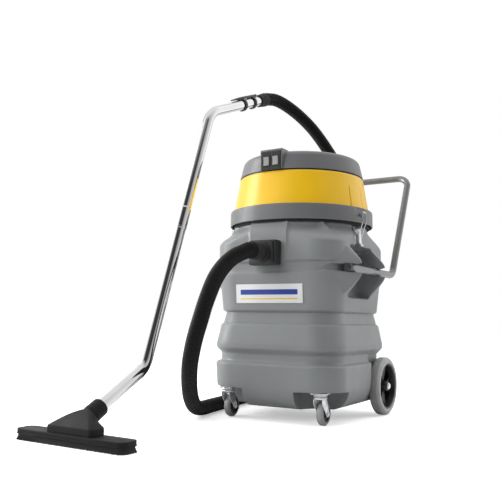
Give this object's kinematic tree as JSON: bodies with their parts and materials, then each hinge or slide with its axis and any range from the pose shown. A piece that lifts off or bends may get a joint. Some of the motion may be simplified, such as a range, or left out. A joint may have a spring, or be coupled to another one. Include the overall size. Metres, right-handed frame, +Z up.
{
  "type": "shop vacuum",
  "caption": "Wet and dry shop vacuum on wheels: moulded tank, lift-off motor head, bent push handle, ribbed hose, bent wand and floor tool.",
  "frame": {"origin": "on the floor, under the middle of the box around everything but the hose and its two cuffs", "axes": "+Y from the front, where the inlet is, to the back, where the handle is; +X to the right as seen from the front; +Z up"},
  "size_m": [0.699, 1.509, 1.2578],
  "materials": {
    "grey_tank": "moulded, satin with a fine grain",
    "grey_head": "satin moulded",
    "yellow_cover": "smooth moulded",
    "black_plastic": "satin",
    "black_rubber": "matt",
    "black_hose": "ribbed, satin",
    "grey_steel": "satin grey",
    "bright_steel": "plated",
    "zinc": "zinc plated",
    "grey_tread": "matt",
    "label_white": "printed plate",
    "pale_switch": "smooth",
    "filter_cloth": "pleated",
    "motor_housing": "dull"
  },
  "bodies": {
    "chassis": {"tank": "grey_tank", "inlet_flange": "black_plastic", "inlet_deflector": "black_plastic", "label_plate": "label_white", "handle_frame": "grey_steel", "handle_cap_left": "black_plastic", "handle_cap_right": "black_plastic", "latch_bracket_left": "zinc", "latch_bracket_right": "zinc", "rear_axle": "bright_steel", "axle_clip_left": "zinc", "axle_clip_right": "zinc", "axle_block_left": "black_plastic", "axle_block_right": "black_plastic", "caster_plate_left": "zinc", "caster_plate_right": "zinc", "hose": "black_hose", "hose_inlet_cuff": "black_plastic", "hose_wand_cuff": "black_plastic", "wand_lower": "bright_steel", "wand_upper": "bright_steel", "floor_tool_body": "black_plastic", "floor_tool_hood": "black_plastic", "floor_tool_brush": "black_rubber"},
    "head": {"head_base": "grey_head", "head_seal": "black_rubber", "motor_cover": "yellow_cover", "cap_gap_ring": "black_plastic", "top_cap": "grey_head", "switch_bezel": "black_plastic", "motor_left": "motor_housing", "motor_right": "motor_housing", "float_cage": "black_plastic", "filter_cartridge": "filter_cloth", "cable_gland": "black_rubber"},
    "float": {"float_ball": "pale_switch"},
    "regulator": {"suction_regulator": "black_plastic"},
    "rocker_left": {"switch_rocker_left": "pale_switch"},
    "latch_lever_left": {"latch_lever_left": "bright_steel"},
    "latch_hook_left": {"latch_hook_left": "bright_steel"},
    "caster_left": {"caster_fork_left": "zinc", "caster_axle_left": "zinc"},
    "caster_wheel_left": {"caster_tyre_left": "grey_tread", "caster_hub_left": "black_plastic"},
    "rear_wheel_left": {"rear_tyre_left": "grey_tread", "rear_hub_left": "black_plastic"},
    "rocker_right": {"switch_rocker_right": "pale_switch"},
    "latch_lever_right": {"latch_lever_right": "bright_steel"},
    "latch_hook_right": {"latch_hook_right": "bright_steel"},
    "caster_right": {"caster_fork_right": "zinc", "caster_axle_right": "zinc"},
    "caster_wheel_right": {"caster_tyre_right": "grey_tread", "caster_hub_right": "black_plastic"},
    "rear_wheel_right": {"rear_tyre_right": "grey_tread", "rear_hub_right": "black_plastic"}
  },
  "joints": [
    {"name": "head_lift", "type": "slide", "parent": "chassis", "child": "head", "axis": [0, 0, 1], "range_m": [0, 0.2]},
    {"name": "rocker_left_tip", "type": "hinge", "parent": "head", "child": "rocker_left", "pos_m": [0.0465, -0.014, 0.868], "axis": [1, 0, 0], "range_deg": [0, 12]},
    {"name": "latch_left_open", "type": "hinge", "parent": "chassis", "child": "latch_lever_left", "pos_m": [-0.176, 0.1685, 0.64], "axis": [0, 1, 0], "range_deg": [0, 110]},
    {"name": "hook_left_swing", "type": "hinge", "parent": "latch_lever_left", "child": "latch_hook_left", "pos_m": [-0.1835, 0.1685, 0.618], "axis": [0, 1, 0], "range_deg": [-110, 0]},
    {"name": "caster_left_swivel", "type": "hinge", "parent": "chassis", "child": "caster_left", "pos_m": [-0.11, 0.0135, 0.09], "axis": [0, 0, 1], "continuous": true},
    {"name": "caster_wheel_left_roll", "type": "hinge", "parent": "caster_left", "child": "caster_wheel_left", "pos_m": [-0.11, 0.0375, 0.036], "axis": [1, 0, 0], "continuous": true},
    {"name": "rear_wheel_left_roll", "type": "hinge", "parent": "chassis", "child": "rear_wheel_left", "pos_m": [-0.178, 0.399, 0.102], "axis": [1, 0, 0], "continuous": true},
    {"name": "rocker_right_tip", "type": "hinge", "parent": "head", "child": "rocker_right", "pos_m": [0.0815, -0.014, 0.868], "axis": [1, 0, 0], "range_deg": [0, 12]},
    {"name": "latch_right_open", "type": "hinge", "parent": "chassis", "child": "latch_lever_right", "pos_m": [0.304, 0.1685, 0.64], "axis": [0, -1, 0], "range_deg": [0, 110]},
    {"name": "hook_right_swing", "type": "hinge", "parent": "latch_lever_right", "child": "latch_hook_right", "pos_m": [0.3115, 0.1685, 0.618], "axis": [0, -1, 0], "range_deg": [-110, 0]},
    {"name": "caster_right_swivel", "type": "hinge", "parent": "chassis", "child": "caster_right", "pos_m": [0.238, 0.0135, 0.09], "axis": [0, 0, 1], "continuous": true},
    {"name": "caster_wheel_right_roll", "type": "hinge", "parent": "caster_right", "child": "caster_wheel_right", "pos_m": [0.238, 0.0375, 0.036], "axis": [1, 0, 0], "continuous": true},
    {"name": "rear_wheel_right_roll", "type": "hinge", "parent": "chassis", "child": "rear_wheel_right", "pos_m": [0.306, 0.399, 0.102], "axis": [1, 0, 0], "continuous": true},
    {"name": "float_rise", "type": "slide", "parent": "head", "child": "float", "axis": [0, 0, 1], "range_m": [0, 0.078]},
    {"name": "regulator_turn", "type": "hinge", "parent": "chassis", "child": "regulator", "pos_m": [-0.1535, 0.2585, 1.192], "axis": [0, 0.9229, 0.385], "range_deg": [0, 60]}
  ],
  "couplings": [
    {"joint": "hook_left_swing", "follows": "latch_left_open", "ratio": -1},
    {"joint": "hook_right_swing", "follows": "latch_right_open", "ratio": -1}
  ]
}
